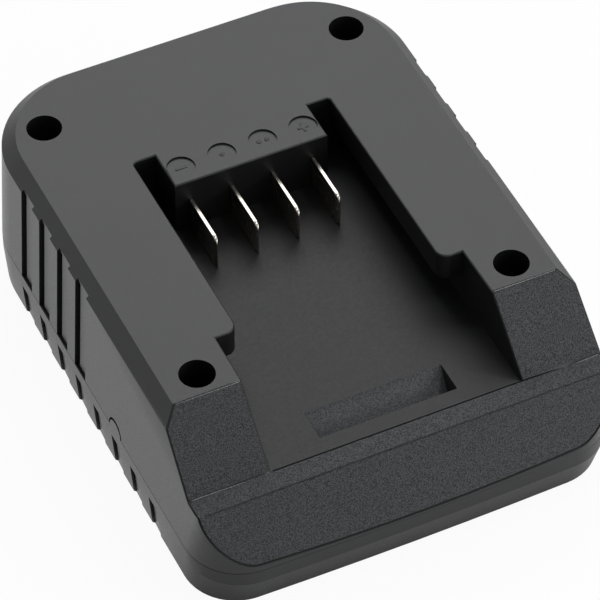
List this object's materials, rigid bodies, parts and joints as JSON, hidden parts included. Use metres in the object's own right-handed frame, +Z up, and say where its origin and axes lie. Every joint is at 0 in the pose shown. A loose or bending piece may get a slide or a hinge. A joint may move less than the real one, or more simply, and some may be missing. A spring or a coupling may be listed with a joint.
{
  "type": "battery charging dock",
  "caption": "Black plastic charging dock with side rails and contact blades, on which a slide-on tool battery is charged from a vehicle supply.",
  "frame": {"origin": "on the surface that the feet stand on, under the middle of the body", "axes": "+Z up out of the battery face, -Y towards the end where the battery slides in, +X to the right seen from there"},
  "size_m": [0.0932, 0.1238, 0.04],
  "materials": {
    "housing_plastic": "moulded black plastic, satin, with a spark-textured front",
    "nickel_plate": "nickel-plated copper strip",
    "carrier_plastic": "glass-filled black plastic",
    "board_laminate": "green solder mask on glass laminate",
    "ferrite": "pressed ferrite",
    "can_aluminium": "drawn can with a dark sleeve",
    "package_plastic": "moulded package",
    "silicone_pad": "soft thermal pad",
    "sink_aluminium": "extruded, matt",
    "fuse_glass": "glass tube with plated caps",
    "contact_brass": "tinned brass",
    "screw_steel": "black-zinc steel",
    "foot_rubber": "soft black rubber"
  },
  "bodies": {
    "root": {"top_housing": "housing_plastic", "bottom_housing": "housing_plastic", "blade_negative": "nickel_plate", "blade_identity": "nickel_plate", "blade_balance": "nickel_plate", "blade_positive": "nickel_plate", "terminal_carrier": "carrier_plastic", "circuit_board": "board_laminate", "power_inductor": "ferrite", "input_capacitor": "can_aluminium", "output_capacitor": "can_aluminium", "power_switch": "package_plastic", "output_rectifier": "package_plastic", "control_chip": "package_plastic", "thermal_pad": "silicone_pad", "heat_sink": "sink_aluminium", "input_fuse": "fuse_glass", "fuse_clips": "contact_brass", "inlet_body": "package_plastic", "inlet_pin": "contact_brass", "inlet_spring": "contact_brass", "housing_screws": "screw_steel", "board_screws": "screw_steel", "foot_front_left": "foot_rubber", "foot_front_right": "foot_rubber", "foot_rear_left": "foot_rubber", "foot_rear_right": "foot_rubber"}
  },
  "joints": []
}
